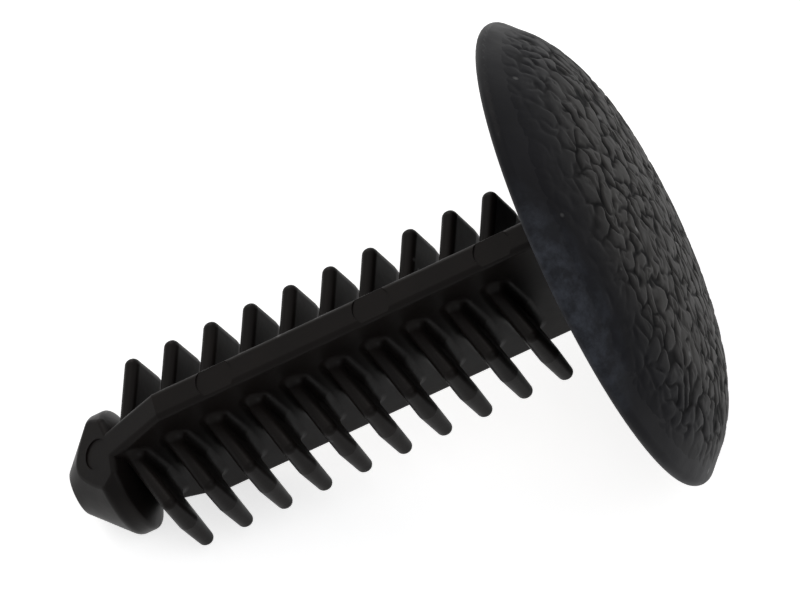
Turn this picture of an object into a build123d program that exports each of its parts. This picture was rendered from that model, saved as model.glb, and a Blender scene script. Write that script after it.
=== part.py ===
from build123d import *
from math import asin, atan2, cos, degrees, hypot, radians, sin, sqrt, tan
import os

# Ribbed shank rivet: a push-in trim fastener moulded as one piece of black nylon.
# A domed head covers the hole in the trim panel. Below it a flat web runs down to
# a blunt nose, with a row of thin ribs on each face of the web. The ribs lean
# back towards the head, fold as they pass through the hole and catch behind it.
#
# Modelling frame: X runs along the shank from the nose (0) to the head, Y is
# square to the web's faces, and Z lies along the web's width, which is also the
# way the two halves of the mould open. At the end the rivet is laid down as it
# rests on a table, on one edge of the web and on the head's rim: +Z is then up
# and +X still points from the nose to the head. All lengths are in millimetres.

# Head
head_d = 25.0            # largest diameter
dome_h = 3.75            # apex above the plane of the largest diameter
crown_r = 36.0           # section radius of the flat middle of the dome
shoulder_r = 9.0         # section radius of the dome's flank
edge_r = 0.42            # rounding of the head's outer edge
head_wall = 1.7          # wall of the dome, which is hollow underneath
collar_r = 0.6           # fillet between the web and the roof of the hollow

# Web of the shank
seat_x = 28.7            # the seat's distance from the end of the nose
web_t = 1.6              # thickness
web_w = 8.6              # width
web_edge_r = 0.3         # rounding along its edges

# Ribs, each face of the web the same, drafted from the parting plane at mid width.
# Their sizes are those in that plane, where they are thickest and reach furthest.
rib_count = 10
rib_pitch = 2.241
first_rib_x = 4.70       # nose side of the first rib's tip
rib_span = 9.38          # across the ribs of both faces
rib_len = 4.9            # along the web's width
rib_tip_t = 1.12         # thickness at the tip, measured along the shank
rib_front_lean = 18.7    # lean of the face towards the nose, degrees
rib_back_lean = 19.4     # lean of the face towards the head, degrees
rib_draft = 3.1          # draft of all its faces towards both ends, degrees
rib_tip_r = 0.5         # rounding along the edges of the tip
rib_end_r = 0.35         # rounding around its two ends
rib_root_r = 0.45        # fillets where the ribs leave the web

# Nose: a cone with a rounded shoulder, and the web's taper cut across its sides
nose_end_d = 2.3         # blunt end
nose_d = 6.5             # shoulder
nose_lean = 45.0         # half angle of the cone
nose_back_x = 3.0        # where the shoulder ends
nose_back_lean = 62.0    # slope of its drop to the web, from the shank's axis
nose_end_r = 0.25        # rounding of the blunt end
shoulder_round_r = 0.5   # rounding where the cone meets the shoulder
nose_back_r = 0.3        # rounding of the shoulder's back edge
nose_edge_r = 0.28       # rounding along the cuts across its sides
taper_end_w = 3.24       # width between the tapered edges at the end of the nose
taper_lean = 23.0        # their lean, degrees

# Marks of the mould's ejector pins: round recesses in one edge of the web
web_mark_d = 2.05
web_mark_x = (9.71, 18.46, 25.16)
nose_mark_d = 1.6        # the one in the taper of the nose
nose_mark_x = 2.2
pin_mark_depth = 0.08

apex_x = seat_x + edge_r + dome_h
taper_x = (web_w - taper_end_w) / 2 / tan(radians(taper_lean))


def arc(centre, radius, start, end):
    """Arc about a centre, along the shorter way between the directions of two points."""
    first = (start - centre).normalized()
    last = (end - centre).normalized()
    middle = (first + last).normalized()
    return ThreePointArc(centre + first * radius, centre + middle * radius,
                         centre + last * radius)


def head():
    """Domed head: its section is turned about the shank's axis."""
    crown_at = Vector(apex_x - crown_r, 0)
    edge_at = Vector(seat_x + edge_r, head_d / 2 - edge_r)
    # The flank's arc touches both the crown's arc and the edge's arc from inside.
    to_edge = edge_at - crown_at
    reach = to_edge.length
    from_crown = crown_r - shoulder_r
    from_edge = shoulder_r - edge_r
    along = (reach ** 2 + from_crown ** 2 - from_edge ** 2) / (2 * reach)
    aside = sqrt(from_crown ** 2 - along ** 2)
    way = to_edge.normalized()
    shoulder_at = crown_at + way * along + Vector(way.Y, -way.X) * aside

    apex = Vector(apex_x, 0)
    under_edge = Vector(seat_x, edge_at.Y)
    inner_r = shoulder_r - head_wall
    seat_in = Vector(seat_x, shoulder_at.Y + sqrt(inner_r ** 2 - (seat_x - shoulder_at.X) ** 2))
    hollow_top = Vector(apex_x - head_wall, 0)
    outline = Curve() + [
        arc(crown_at, crown_r, apex, shoulder_at),
        arc(shoulder_at, shoulder_r, shoulder_at * 2 - crown_at, edge_at),
        arc(edge_at, edge_r, edge_at * 2 - shoulder_at, under_edge),
        Line(under_edge, seat_in),
        arc(shoulder_at, inner_r, seat_in, shoulder_at * 2 - crown_at),
        arc(crown_at, crown_r - head_wall, shoulder_at, apex),
        Line(hollow_top, apex),
    ]
    return revolve(make_face(outline), Axis.X)


def half_width(x):
    """Half of the web's width at a distance from the end of the nose."""
    return web_w / 2 - max(0, taper_x - x) * tan(radians(taper_lean))


def on_rim(edge):
    """Whether an edge lies on the outline that the plan view gives the web and nose."""
    points = [edge.position_at(share) for share in (0.2, 0.5, 0.8)]
    return all(abs(abs(p.Z) - half_width(p.X)) < 1e-4 for p in points) and edge.length > web_t + 1e-4


def within_plan(body, round_r):
    """Cut a body by the plan view with its tapered edges, and round the edges this makes."""
    plan = [(x, half_width(x)) for x in (0, taper_x, apex_x)]
    plan += [(x, -z) for x, z in reversed(plan)]
    plan_face = Plane.XZ * make_face(Polyline(*plan, close=True))
    body = body & extrude(plan_face, nose_d, both=True)
    return fillet(body.edges().filter_by(on_rim), round_r)


def nose():
    """Blunt cone turned about the shank's axis, with the taper cut across its sides."""
    cone_len = (nose_d - nose_end_d) / 2 / tan(radians(nose_lean))
    back_len = nose_d / 2 / tan(radians(nose_back_lean))
    side = [
        (0, 0),
        (0, nose_end_d / 2),
        (cone_len, nose_d / 2),
        (nose_back_x, nose_d / 2),
        (nose_back_x + back_len, 0),
    ]
    face = make_face(Polyline(*side, close=True))
    end, shoulder, back = face.vertices().filter_by(lambda v: v.Y > 0).sort_by(Axis.X)
    for corner, radius in ((end, nose_end_r), (shoulder, shoulder_round_r), (back, nose_back_r)):
        face = fillet(face.vertices().sort_by_distance(corner)[0], radius)
    return within_plan(revolve(face, Axis.X), nose_edge_r)


def web():
    """Flat bar from inside the nose to inside the head's dome."""
    foot_x = nose_back_x / 2
    length = apex_x - head_wall / 2 - foot_x
    return within_plan(Pos(foot_x + length / 2, 0, 0) * Box(length, web_t, web_w), web_edge_r)


def rib():
    """One rib above the web: its round-tipped side view, drafted towards both ends."""
    tip_y = rib_span / 2
    tip_x = first_rib_x
    side = [
        (tip_x - tip_y * tan(radians(rib_front_lean)), 0),
        (tip_x + rib_tip_t - tip_y * tan(radians(rib_back_lean)), 0),
        (tip_x + rib_tip_t, tip_y),
        (tip_x, tip_y),
    ]
    face = make_face(Polyline(*side, close=True))
    face = fillet(face.vertices().filter_by(lambda v: v.Y > tip_y / 2), rib_tip_r)
    half = extrude(face, rib_len / 2, taper=rib_draft)
    end = half.faces().sort_by(Axis.Z)[-1]
    half = fillet(end.edges().filter_by(lambda e: e.center().Y > web_t / 2), rib_end_r)
    return half + mirror(half, Plane.XY)


def at_root(edge):
    """Whether an edge is where a rib leaves the flat of the web."""
    points = [edge.position_at(share) for share in (0.2, 0.5, 0.8)]
    flat = all(abs(abs(p.Y) - web_t / 2) < 1e-4 for p in points)
    return flat and all(abs(p.Z) < rib_len / 2 + 1e-4 and p.X > nose_back_x for p in points)


def ribbed_shank():
    """The web with its two rows of ribs, filleted where they leave it, and the nose."""
    blade = rib()
    row = [Pos(i * rib_pitch, 0, 0) * blade for i in range(rib_count)]
    body = web() + row + [mirror(b, Plane.XZ) for b in row]
    roots = [e for e in body.edges() if at_root(e) and e.length > rib_root_r]
    return fillet(roots, rib_root_r) + nose()


def at_collar(edge):
    """Whether an edge is where the web meets the roof of the head's hollow."""
    middle = edge.position_at(0.5)
    in_web = abs(middle.Y) < web_t / 2 + 1e-4 and abs(middle.Z) < web_w / 2 + 1e-4
    return in_web and seat_x < middle.X < apex_x - head_wall / 2


def pin_marks():
    """Recesses the ejector pins leave: three in the web's edge, one in the taper."""
    pad = 2 * pin_mark_depth
    marks = [Pos(x, 0, web_w / 2) * Cylinder(web_mark_d / 2, pad) for x in web_mark_x]
    square_to_taper = (-sin(radians(taper_lean)), 0, cos(radians(taper_lean)))
    taper = Plane(origin=(nose_mark_x, 0, half_width(nose_mark_x)), z_dir=square_to_taper)
    return marks + [taper * Cylinder(nose_mark_d / 2, pad)]


def rivet():
    """The whole fastener in the modelling frame."""
    body = ribbed_shank() + head()
    body = fillet(body.edges().filter_by(at_collar), collar_r)
    return body - pin_marks()


def table_slope():
    """Slope of the line that touches the web's edge, where its taper ends, and the head's rim."""
    run = seat_x + edge_r - taper_x
    drop = head_d / 2 - edge_r - web_w / 2
    return degrees(atan2(drop, run) + asin(edge_r / hypot(run, drop)))


def at_rest(body):
    """The rivet as it lies on a table, with the origin under the middle of its box."""
    body = Rot(0, -table_slope(), 0) * body
    box = body.bounding_box()
    return Pos(-box.center().X, -box.center().Y, -box.min.Z) * body


os.makedirs("parts", exist_ok=True)
export_step(at_rest(rivet()), "parts/ribbed_rivet.step")
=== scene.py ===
"""Looks for the ribbed shank rivet: black moulded plastic with a leather-grained head.

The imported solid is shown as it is, in a satin plastic. A thin closed skin lies on its dome
and carries the leather grain as real relief. All lengths are in metres.
"""
from math import atan2, cos, hypot, pi, radians, sin, sqrt

import bpy
import numpy as np
from mathutils import Euler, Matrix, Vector


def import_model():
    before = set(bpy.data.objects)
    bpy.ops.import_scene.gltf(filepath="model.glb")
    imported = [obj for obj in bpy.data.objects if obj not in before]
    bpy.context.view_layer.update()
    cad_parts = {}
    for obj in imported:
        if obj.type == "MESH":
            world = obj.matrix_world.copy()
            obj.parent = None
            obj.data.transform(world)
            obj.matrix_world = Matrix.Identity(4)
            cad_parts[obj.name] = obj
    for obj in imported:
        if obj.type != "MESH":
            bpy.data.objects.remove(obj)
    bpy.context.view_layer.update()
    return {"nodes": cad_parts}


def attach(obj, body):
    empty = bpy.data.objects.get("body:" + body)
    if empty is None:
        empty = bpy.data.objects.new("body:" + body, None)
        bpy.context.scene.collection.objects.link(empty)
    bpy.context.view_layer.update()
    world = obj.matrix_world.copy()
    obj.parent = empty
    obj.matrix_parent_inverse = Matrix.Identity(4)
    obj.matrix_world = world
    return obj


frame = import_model()

# The head's section, as in the solid
HEAD_D = 0.025
DOME_H = 0.00375
CROWN_R = 0.036
SHOULDER_R = 0.009
EDGE_R = 0.00042
SEAT_X = 0.0287
APEX_X = SEAT_X + EDGE_R + DOME_H

# Where the shank's axis lies: the end of the nose, and how far the axis rises from +X
NOSE_END = np.array([-0.0162322, 0.0, 0.0019026])
AXIS_RISE = radians(19.835)

# Leather grain on the dome
GRAIN_CELL = 0.00112       # across one cell
GRAIN_DEPTH = 0.00012      # from the cells' tops to the creases
SKIN_LIFT = 0.000006       # creases above the solid's dome
SKIN_WALL = 0.00015        # from the dome down to the skin's inner face
RIM_DIP = 0.00004          # how far the skin sinks under the solid's dome at the rim
GRAIN_FADE = 0.0018        # smooth border inside the rim
CROWN_GRAIN = 0.0104       # full depth up to here, measured along the dome from its apex
FLANK_GRAIN = 0.0124       # shallower from here on
WORN_SIDE = radians(110)   # middle of the side that is worn smoother, round the axis from +Y
PAINTED_SHEEN_SIDE = radians(131)  # middle of the stretch of rim with a painted bluish sheen, round the axis from +Y
INNER_RINGS = 7            # rings of points on the skin's inner face

# Plastic
HEAD_SHINE = 0.065
SHANK_SHINE = 0.09
HEAD_DARK, HEAD_LIGHT = (0.0058, 0.0059, 0.0074, 1), (0.0086, 0.0087, 0.0106, 1)
# Crown's tone is painted light: it lightens the dome towards its apex
CROWN_PAINTED_LIGHT = (0.0245, 0.0233, 0.0224, 1)
SHANK_DARK, SHANK_LIGHT = (0.0043, 0.0034, 0.0032, 1), (0.0074, 0.0057, 0.0051, 1)
# Crease tone is painted shade in the grain's creases
CREASE_PAINTED_SHADE = (0.0040, 0.0040, 0.0044, 1)
# Painted bluish sheen on a stretch of the head's rim
PAINTED_RIM_SHEEN = (0.046, 0.051, 0.064, 1)
DUST_TONE = (0.12, 0.12, 0.12, 1)
HEAD_ROUGH = 0.52
SHANK_ROUGH = 0.42


def to_row(points):
    """Turn points from the rivet's own axes (x along the shank) and move them to its place."""
    c, s = cos(AXIS_RISE), sin(AXIS_RISE)
    turned = np.empty_like(points)
    turned[:, 0] = points[:, 0] * c - points[:, 2] * s
    turned[:, 1] = points[:, 1]
    turned[:, 2] = points[:, 0] * s + points[:, 2] * c
    return turned + NOSE_END


def mesh_piece(name, points, faces, smooth=True):
    """Object at the origin whose mesh holds the given points and faces."""
    mesh = bpy.data.meshes.new(name)
    mesh.from_pydata(points.tolist(), [], faces)
    mesh.polygons.foreach_set("use_smooth", [smooth] * len(mesh.polygons))
    mesh.validate()
    piece = bpy.data.objects.new(name, mesh)
    bpy.context.scene.collection.objects.link(piece)
    return piece


# Grained skin of the dome

def dome_section(s):
    """Dome's section at arc length s from the apex: distance along the axis, radius, normal.

    The crown is an arc of radius CROWN_R about a point on the axis. The flank is an arc of
    radius SHOULDER_R that touches the crown's arc and the rounding of the head's edge.
    """
    crown_x = APEX_X - CROWN_R
    edge_x, edge_y = SEAT_X + EDGE_R, HEAD_D / 2 - EDGE_R
    reach = hypot(edge_x - crown_x, edge_y)
    from_crown = CROWN_R - SHOULDER_R
    from_edge = SHOULDER_R - EDGE_R
    along = (reach ** 2 + from_crown ** 2 - from_edge ** 2) / (2 * reach)
    aside = sqrt(from_crown ** 2 - along ** 2)
    way = atan2(edge_y, edge_x - crown_x)
    flank_x = crown_x + along * cos(way) + aside * sin(way)
    flank_y = along * sin(way) - aside * cos(way)
    turn = atan2(flank_y, flank_x - crown_x)
    last = atan2(edge_y - flank_y, edge_x - flank_x)
    on_crown = s < CROWN_R * turn
    phi = np.where(on_crown, s / CROWN_R, turn + (s - CROWN_R * turn) / SHOULDER_R)
    radius = np.where(on_crown, CROWN_R, SHOULDER_R)
    x = np.where(on_crown, crown_x, flank_x) + radius * np.cos(phi)
    y = np.where(on_crown, 0.0, flank_y) + radius * np.sin(phi)
    length = CROWN_R * turn + SHOULDER_R * (last - turn)
    return x, y, np.cos(phi), np.sin(phi), length


def value_noise(p, q, seed):
    """Smooth noise in 0..1: random values on a unit grid, blended with a cubic step."""
    table = np.random.default_rng(seed).random((64, 64))
    i, j = np.floor(p).astype(int), np.floor(q).astype(int)
    u, v = p - i, q - j
    u, v = u * u * (3 - 2 * u), v * v * (3 - 2 * v)
    a, b = table[i % 64, j % 64], table[(i + 1) % 64, j % 64]
    c, d = table[i % 64, (j + 1) % 64], table[(i + 1) % 64, (j + 1) % 64]
    return (a * (1 - u) + b * u) * (1 - v) + (c * (1 - u) + d * u) * v


def cell_gap(p, q, seed):
    """Distance to the nearest scattered point, and how much further the second one is."""
    scatter = np.random.default_rng(seed).random((64, 64, 2))
    i, j = np.floor(p).astype(int), np.floor(q).astype(int)
    first = np.full(p.shape, 9.0)
    second = np.full(p.shape, 9.0)
    for di in (-1, 0, 1):
        for dj in (-1, 0, 1):
            seat = scatter[(i + di) % 64, (j + dj) % 64]
            d = np.hypot(i + di + seat[..., 0] - p, j + dj + seat[..., 1] - q)
            second = np.minimum(second, np.maximum(first, d))
            first = np.minimum(first, d)
    return first, second - first


def smooth_step(lo, hi, value):
    """0 below lo, 1 above hi, and a cubic step between them."""
    t = np.clip((value - lo) / (hi - lo), 0, 1)
    return t * t * (3 - 2 * t)


def grain(p, q):
    """Leather relief in 0..1 at p, q (in cells): domed cells parted by creases of varied depth.

    Two sizes of cells lie over each other, both bent by noise. Each crease comes and goes
    along its length, so that few cells are closed all round.
    """
    bend_p = value_noise(p * 0.8, q * 0.8, 3) + 0.6 * value_noise(p * 2.1, q * 2.1, 13) - 0.8
    bend_q = value_noise(p * 0.8 + 17, q * 0.8 + 5, 4)
    bend_q = bend_q + 0.6 * value_noise(p * 2.1, q * 2.1, 14) - 0.8
    wide_p, wide_q = p + 0.75 * bend_p, q + 0.75 * bend_q
    near, gap = cell_gap(wide_p, wide_q, 11)
    shown = smooth_step(0.22, 0.58, value_noise(p * 2.0 + 9, q * 2.0 + 31, 6))
    crease = (0.30 + 0.70 * shown) * (1 - smooth_step(0.0, 0.40, gap))
    small_near, small_gap = cell_gap(wide_p * 1.8 + 7, wide_q * 1.8 + 3, 12)
    small_shown = smooth_step(0.55, 0.85, value_noise(p * 2.4 + 40, q * 2.4 + 2, 16))
    crease = np.maximum(crease, 0.5 * small_shown * (1 - smooth_step(0.0, 0.34, small_gap)))
    top = 1 - 0.40 * np.clip(near, 0, 1) ** 2 - 0.10 * np.clip(small_near, 0, 1) ** 2
    return np.clip(top - 0.75 * crease + 0.04 * value_noise(p * 6, q * 6, 8), 0, 1)


def grained_skin(name, rings, segments):
    """Closed skin on the dome, a function of arc length from the apex and angle round it.

    Outer face: the dome's section turned about the axis and raised along its normal by a
    small lift and the grain, which is shallower on the flank and on the worn side. Near the
    rim it fades to just under the solid's dome. Inner face: the same section lowered by the
    skin's wall. A ring of faces joins the two inside the solid.
    """
    length = dome_section(np.zeros(1))[4] * 0.998
    s = length * np.linspace(0, 1, rings + 1)[1:]
    angle = 2 * pi * np.arange(segments) / segments
    s_grid, a_grid = np.meshgrid(s, angle, indexing="ij")
    p = s_grid * np.cos(a_grid) / GRAIN_CELL + 200
    q = s_grid * np.sin(a_grid) / GRAIN_CELL + 200
    shown = smooth_step(length, length - GRAIN_FADE, s_grid)
    relief = grain(p, q)
    worn = smooth_step(0.50, 0.97, np.cos(a_grid - WORN_SIDE)) * smooth_step(0.0086, 0.0112, s_grid)
    depth = (1 - 0.40 * smooth_step(CROWN_GRAIN, FLANK_GRAIN, s_grid)) * (1 - 0.75 * worn)
    height = (SKIN_LIFT + GRAIN_DEPTH * relief * depth) * shown - RIM_DIP * (1 - shown)

    def surface(s_values, angles, lift):
        x, y, nx, ny, _ = dome_section(s_values)
        x, y = x + nx * lift, y + ny * lift
        return np.stack([x, y * np.cos(angles), y * np.sin(angles)], axis=-1).reshape(-1, 3)

    outer = surface(s_grid, a_grid, height)
    inner_s = length * np.linspace(0.2, 1, INNER_RINGS + 1)[:-1]
    inner_s, inner_a = np.meshgrid(inner_s, angle, indexing="ij")
    inner = surface(inner_s, inner_a, -SKIN_WALL)
    middle = grain(np.array([200.0]), np.array([200.0]))
    poles = np.array([[APEX_X + SKIN_LIFT + GRAIN_DEPTH * middle[0], 0, 0],
                      [APEX_X - SKIN_WALL, 0, 0]])
    points = to_row(np.vstack([outer, inner, poles]))

    def ring_faces(first, count):
        k = np.arange(segments)
        n = (k + 1) % segments
        rows = first + segments * np.arange(count - 1)[:, None]
        quads = np.stack([rows + k, rows + segments + k, rows + segments + n, rows + n], axis=-1)
        return quads.reshape(-1, 4)

    k = np.arange(segments)
    n = (k + 1) % segments
    inner_first = len(outer)
    top, bottom = len(outer) + len(inner), len(outer) + len(inner) + 1
    out_faces = ring_faces(0, rings)
    in_faces = ring_faces(inner_first, INNER_RINGS)[:, ::-1]
    last_out, last_in = inner_first - segments, top - segments
    rim = np.stack([last_out + k, last_in + k, last_in + n, last_out + n], axis=-1)
    fan_out = np.stack([np.full(segments, top), k, n], axis=-1)
    fan_in = np.stack([np.full(segments, bottom), inner_first + n, inner_first + k], axis=-1)
    faces = np.vstack([out_faces, in_faces, rim]).tolist() + np.vstack([fan_out, fan_in]).tolist()
    piece = mesh_piece(name, points, faces)
    # grain_top: 1 on the cells' tops, lower in the creases, where the plastic paints shade
    top_share = 1 - shown * depth * (1 - relief)
    # Painted light on the crown: lighter near the apex, reaching further down on the half round the
    # worn side
    painted_light_half = smooth_step(-0.4, 0.6, np.cos(a_grid - WORN_SIDE))
    crown = 1 - smooth_step(0.0072, 0.0112, s_grid) * (0.5 + 0.5 * painted_light_half)
    for label, values, rest in (("grain_top", top_share, 1.0), ("crown", crown, 0.0)):
        whole = np.full(len(points), rest, dtype=np.float32)
        whole[:len(outer)] = values.ravel()
        layer = piece.data.attributes.new(label, "FLOAT", "POINT")
        layer.data.foreach_set("value", whole)
    return piece


# Shader helpers and groups

def link(tree, out_socket, in_socket):
    """Join two sockets of a node tree."""
    tree.links.new(out_socket, in_socket)


def new_group(name, inputs, outputs):
    """Empty shader group with float or colour inputs and outputs."""
    group = bpy.data.node_groups.new(name, "ShaderNodeTree")
    for label, kind, value in inputs:
        socket = group.interface.new_socket(label, in_out="INPUT", socket_type=kind)
        socket.default_value = value
    for label, kind in outputs:
        group.interface.new_socket(label, in_out="OUTPUT", socket_type=kind)
    return group, group.nodes.new("NodeGroupInput"), group.nodes.new("NodeGroupOutput")


def node(tree, kind, **settings):
    """New node of a kind, with its settings."""
    made = tree.nodes.new(kind)
    for key, value in settings.items():
        setattr(made, key, value)
    return made


def noise(tree, vector, scale, detail=4.0, rough=0.55):
    """Fractal noise at the given coordinates, scale in cycles per metre."""
    made = node(tree, "ShaderNodeTexNoise")
    made.inputs["Scale"].default_value = scale
    made.inputs["Detail"].default_value = detail
    made.inputs["Roughness"].default_value = rough
    link(tree, vector, made.inputs["Vector"])
    return made.outputs["Fac"]


def spread(tree, value, lo, hi, to_lo, to_hi):
    """Map a value from lo..hi to to_lo..to_hi, held within it."""
    made = node(tree, "ShaderNodeMapRange")
    for key, number in (("From Min", lo), ("From Max", hi), ("To Min", to_lo), ("To Max", to_hi)):
        made.inputs[key].default_value = number
    link(tree, value, made.inputs["Value"])
    return made.outputs["Result"]


def mix_colour(tree, factor, a, b):
    """Colour a where the factor is 0 and b where it is 1. Each is a socket or a constant."""
    made = node(tree, "ShaderNodeMix", data_type="RGBA")
    link(tree, factor, made.inputs["Factor"])
    for socket, colour in ((made.inputs["A"], a), (made.inputs["B"], b)):
        if isinstance(colour, tuple):
            socket.default_value = colour
        else:
            link(tree, colour, socket)
    return made.outputs["Result"]


def arithmetic(tree, operation, a, b):
    """Result of an operation on two values, each a socket or a number."""
    made = node(tree, "ShaderNodeMath", operation=operation)
    for socket, value in ((made.inputs[0], a), (made.inputs[1], b)):
        if isinstance(value, (int, float)):
            socket.default_value = value
        else:
            link(tree, value, socket)
    return made.outputs[0]


def moulded_surface():
    """Group: the faint mottle and fine texture that moulding leaves on nylon."""
    group, inp, out = new_group(
        "moulded_surface",
        [("Vector", "NodeSocketVector", (0, 0, 0)), ("Texture", "NodeSocketFloat", 1.0)],
        [("Mottle", "NodeSocketFloat"), ("Roughness", "NodeSocketFloat"),
         ("Height", "NodeSocketFloat")])
    broad = noise(group, inp.outputs["Vector"], 260.0, 3.0)
    fine = noise(group, inp.outputs["Vector"], 5200.0, 3.0, 0.6)
    link(group, spread(group, broad, 0.3, 0.7, 0.0, 1.0), out.inputs["Mottle"])
    cloud = noise(group, inp.outputs["Vector"], 700.0, 4.0)
    link(group, spread(group, cloud, 0.3, 0.7, -0.05, 0.06), out.inputs["Roughness"])
    link(group, arithmetic(group, "MULTIPLY", fine, inp.outputs["Texture"]), out.inputs["Height"])
    return group


def dust():
    """Group: sparse pale specks, 1 where a speck lies."""
    group, inp, out = new_group(
        "dust",
        [("Vector", "NodeSocketVector", (0, 0, 0)), ("Scale", "NodeSocketFloat", 800.0),
         ("Share", "NodeSocketFloat", 0.11)],
        [("Speck", "NodeSocketFloat")])
    cells = node(group, "ShaderNodeTexVoronoi")
    link(group, inp.outputs["Vector"], cells.inputs["Vector"])
    link(group, inp.outputs["Scale"], cells.inputs["Scale"])
    pick = node(group, "ShaderNodeSeparateColor")
    link(group, cells.outputs["Color"], pick.inputs["Color"])
    chosen = arithmetic(group, "LESS_THAN", pick.outputs["Red"], inp.outputs["Share"])
    spot = spread(group, cells.outputs["Distance"], 0.16, 0.05, 0.0, 1.0)
    link(group, arithmetic(group, "MULTIPLY", chosen, spot), out.inputs["Speck"])
    return group


def reach_along(tree, vector, direction):
    """Distance of a point from the origin, measured along a direction."""
    made = node(tree, "ShaderNodeVectorMath", operation="DOT_PRODUCT")
    link(tree, vector, made.inputs[0])
    made.inputs[1].default_value = tuple(float(v) for v in direction)
    return made.outputs["Value"]


def head_zone():
    """Group: which points lie on the head, and where a bluish sheen is painted near its rim."""
    group, inp, out = new_group(
        "head_zone", [("Vector", "NodeSocketVector", (0, 0, 0))],
        [("Head", "NodeSocketFloat"), ("Painted sheen", "NodeSocketFloat")])
    axis = np.array([cos(AXIS_RISE), 0.0, sin(AXIS_RISE)])
    seat = SEAT_X + float(NOSE_END @ axis)
    along = reach_along(group, inp.outputs["Vector"], axis)
    head = spread(group, along, seat - 0.0002, seat, 0.0, 1.0)
    link(group, head, out.inputs["Head"])
    # Painted sheen: bluish patches near the rim, on one side of the head
    square = np.array([-sin(AXIS_RISE), 0.0, cos(AXIS_RISE)])
    way = cos(PAINTED_SHEEN_SIDE) * np.array([0.0, 1.0, 0.0]) + sin(PAINTED_SHEEN_SIDE) * square
    out_from_axis = reach_along(group, inp.outputs["Vector"], way)
    centre = float(NOSE_END @ way)
    near_rim = spread(group, out_from_axis, centre + 0.0106, centre + 0.0122, 0.0, 1.0)
    patch = noise(group, inp.outputs["Vector"], 1100.0, 5.0, 0.65)
    patch = spread(group, patch, 0.40, 0.70, 0.20, 1.0)
    painted_sheen = arithmetic(group, "MULTIPLY", arithmetic(group, "MULTIPLY", near_rim, patch), head)
    link(group, painted_sheen, out.inputs["Painted sheen"])
    return group


SURFACE_GROUP = moulded_surface()
DUST_GROUP = dust()
ZONE_GROUP = head_zone()


def grouped(tree, group, place, output):
    """Use a shader group at the given coordinates and return one of its outputs."""
    made = node(tree, "ShaderNodeGroup", node_tree=group)
    link(tree, place, made.inputs["Vector"])
    return made.outputs[output]


def plastic(name, grained, shine):
    """Black moulded plastic: bluer and duller on the head, darker and glossier on the shank."""
    material = bpy.data.materials.new(name)
    material.use_nodes = True
    tree = material.node_tree
    shader = tree.nodes["Principled BSDF"]
    shader.inputs["IOR"].default_value = 1.5
    shader.inputs["Specular IOR Level"].default_value = shine
    place = node(tree, "ShaderNodeTexCoord").outputs["Object"]
    zone = grouped(tree, ZONE_GROUP, place, "Head")
    mottle = grouped(tree, SURFACE_GROUP, place, "Mottle")
    shank = mix_colour(tree, mottle, SHANK_DARK, SHANK_LIGHT)
    head = mix_colour(tree, mottle, HEAD_DARK, HEAD_LIGHT)
    colour = mix_colour(tree, zone, shank, head)
    rough = spread(tree, zone, 0.0, 1.0, SHANK_ROUGH, HEAD_ROUGH)
    rough = arithmetic(tree, "ADD", rough, grouped(tree, SURFACE_GROUP, place, "Roughness"))
    if grained:
        # Painted light: the crown's paler tone stands in for the light that falls on the dome's top
        crown = node(tree, "ShaderNodeAttribute", attribute_name="crown").outputs["Fac"]
        colour = mix_colour(tree, crown, colour, CROWN_PAINTED_LIGHT)
        # Painted shade: the creases darken where the grain's relief is low
        top = node(tree, "ShaderNodeAttribute", attribute_name="grain_top").outputs["Fac"]
        crease = spread(tree, top, 0.15, 0.70, 1.0, 0.0)
        colour = mix_colour(tree, crease, colour, CREASE_PAINTED_SHADE)
        rough = arithmetic(tree, "ADD", rough, arithmetic(tree, "MULTIPLY", crease, 0.25))
    # Painted bluish sheen in patches near the rim
    painted_sheen = grouped(tree, ZONE_GROUP, place, "Painted sheen")
    colour = mix_colour(tree, painted_sheen, colour, PAINTED_RIM_SHEEN)
    specks = grouped(tree, DUST_GROUP, place, "Speck")
    colour = mix_colour(tree, specks, colour, DUST_TONE)
    link(tree, colour, shader.inputs["Base Color"])
    link(tree, rough, shader.inputs["Roughness"])
    bump = node(tree, "ShaderNodeBump")
    bump.inputs["Strength"].default_value = 0.5
    bump.inputs["Distance"].default_value = 0.00001
    link(tree, grouped(tree, SURFACE_GROUP, place, "Height"), bump.inputs["Height"])
    link(tree, bump.outputs["Normal"], shader.inputs["Normal"])
    return material


# The rivet: the grained skin on its dome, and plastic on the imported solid

skin = grained_skin("grained_dome", 148, 560)
skin.data.materials.append(plastic("grained_plastic", True, HEAD_SHINE))
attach(skin, "root")

body = frame["nodes"]["ribbed_rivet"]
body.data.materials.clear()
body.data.materials.append(plastic("moulded_plastic", False, SHANK_SHINE))


# Floor, light and camera

def floor_material():
    """White floor: lit by the lamps, with a little added for the camera and in reflections."""
    material = bpy.data.materials.new("white_floor")
    material.use_nodes = True
    tree = material.node_tree
    tree.nodes.clear()
    lit = node(tree, "ShaderNodeBsdfDiffuse")
    lit.inputs["Color"].default_value = (0.86, 0.86, 0.86, 1)
    path = node(tree, "ShaderNodeLightPath")
    seen = arithmetic(tree, "MAXIMUM", path.outputs["Is Camera Ray"], path.outputs["Is Glossy Ray"])
    seen = arithmetic(tree, "MAXIMUM", seen, path.outputs["Is Transmission Ray"])
    glow = node(tree, "ShaderNodeEmission")
    link(tree, arithmetic(tree, "MULTIPLY", seen, 0.68), glow.inputs["Strength"])
    both = node(tree, "ShaderNodeAddShader")
    link(tree, lit.outputs[0], both.inputs[0])
    link(tree, glow.outputs[0], both.inputs[1])
    out = node(tree, "ShaderNodeOutputMaterial")
    link(tree, both.outputs[0], out.inputs["Surface"])
    return material


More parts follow.
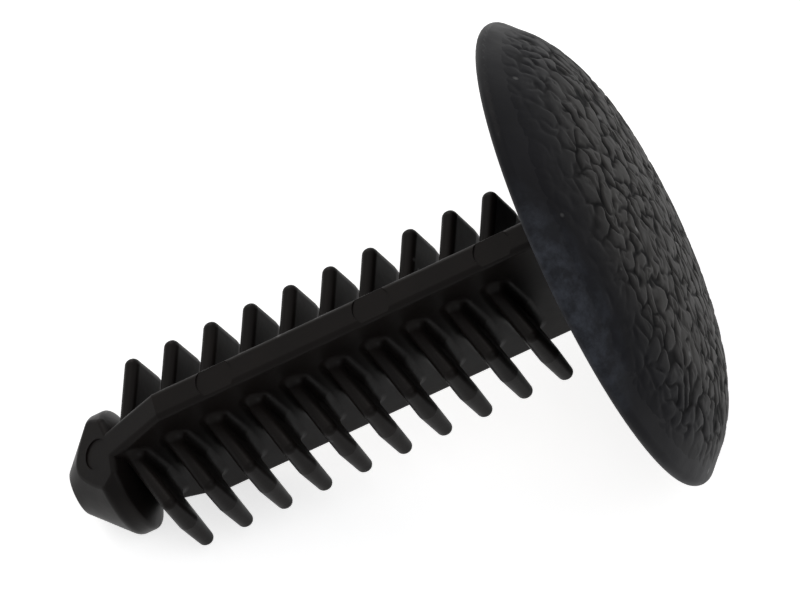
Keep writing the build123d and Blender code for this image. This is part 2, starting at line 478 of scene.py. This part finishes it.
def floor():
    """Flat square under the rivet, 1.2 m wide."""
    half = 0.6
    corners = np.array([[-half, -half, 0], [half, -half, 0], [half, half, 0], [-half, half, 0]])
    piece = mesh_piece("floor", corners, [[0, 1, 2, 3]], smooth=False)
    piece.data.materials.append(floor_material())
    return piece


def lamp(name, place, aim, size, power, colour=(1, 1, 1)):
    """Square soft lamp that faces the point it is aimed at."""
    light = bpy.data.lights.new(name, "AREA")
    light.size = size
    light.energy = power
    light.color = colour
    holder = bpy.data.objects.new(name, light)
    holder.location = place
    holder.rotation_euler = (Vector(aim) - Vector(place)).to_track_quat("-Z", "Y").to_euler()
    bpy.context.scene.collection.objects.link(holder)
    return holder


def world():
    """Even white sky, brighter for the camera and in reflections than as a light."""
    made = bpy.data.worlds.new("studio")
    bpy.context.scene.world = made
    made.use_nodes = True
    tree = made.node_tree
    tree.nodes.clear()
    path = node(tree, "ShaderNodeLightPath")
    seen = arithmetic(tree, "MAXIMUM", path.outputs["Is Camera Ray"], path.outputs["Is Glossy Ray"])
    seen = arithmetic(tree, "MAXIMUM", seen, path.outputs["Is Transmission Ray"])
    sky = node(tree, "ShaderNodeBackground")
    link(tree, spread(tree, seen, 0.0, 1.0, 0.60, 1.0), sky.inputs["Strength"])
    out = node(tree, "ShaderNodeOutputWorld")
    link(tree, sky.outputs[0], out.inputs["Surface"])


def camera():
    """Camera where the photograph's was, found from the outline of the part."""
    data = bpy.data.cameras.new("camera")
    data.sensor_width = 36.0
    data.lens = 314.0
    data.clip_start, data.clip_end = 0.01, 5.0
    holder = bpy.data.objects.new("camera", data)
    holder.location = (-0.0217902, -0.1870659, 0.2982499)
    holder.rotation_euler = Euler((radians(33.0951), radians(4.4554), radians(-13.7877)), "XYZ")
    bpy.context.scene.collection.objects.link(holder)
    bpy.context.scene.camera = holder


floor()
world()
camera()
lamp("key", (-0.12, 0.52, 0.32), (0, 0, 0.01), 0.30, 0.9, (1.0, 0.95, 0.90))
lamp("fill", (0.10, -0.25, 0.55), (0, 0, 0.01), 0.30, 0.45, (0.95, 0.97, 1.0))
lamp("side", (0.55, 0.25, 0.06), (0, 0, 0.01), 0.25, 0.3, (1.0, 0.98, 0.96))
bpy.context.scene.view_settings.view_transform = "Standard"
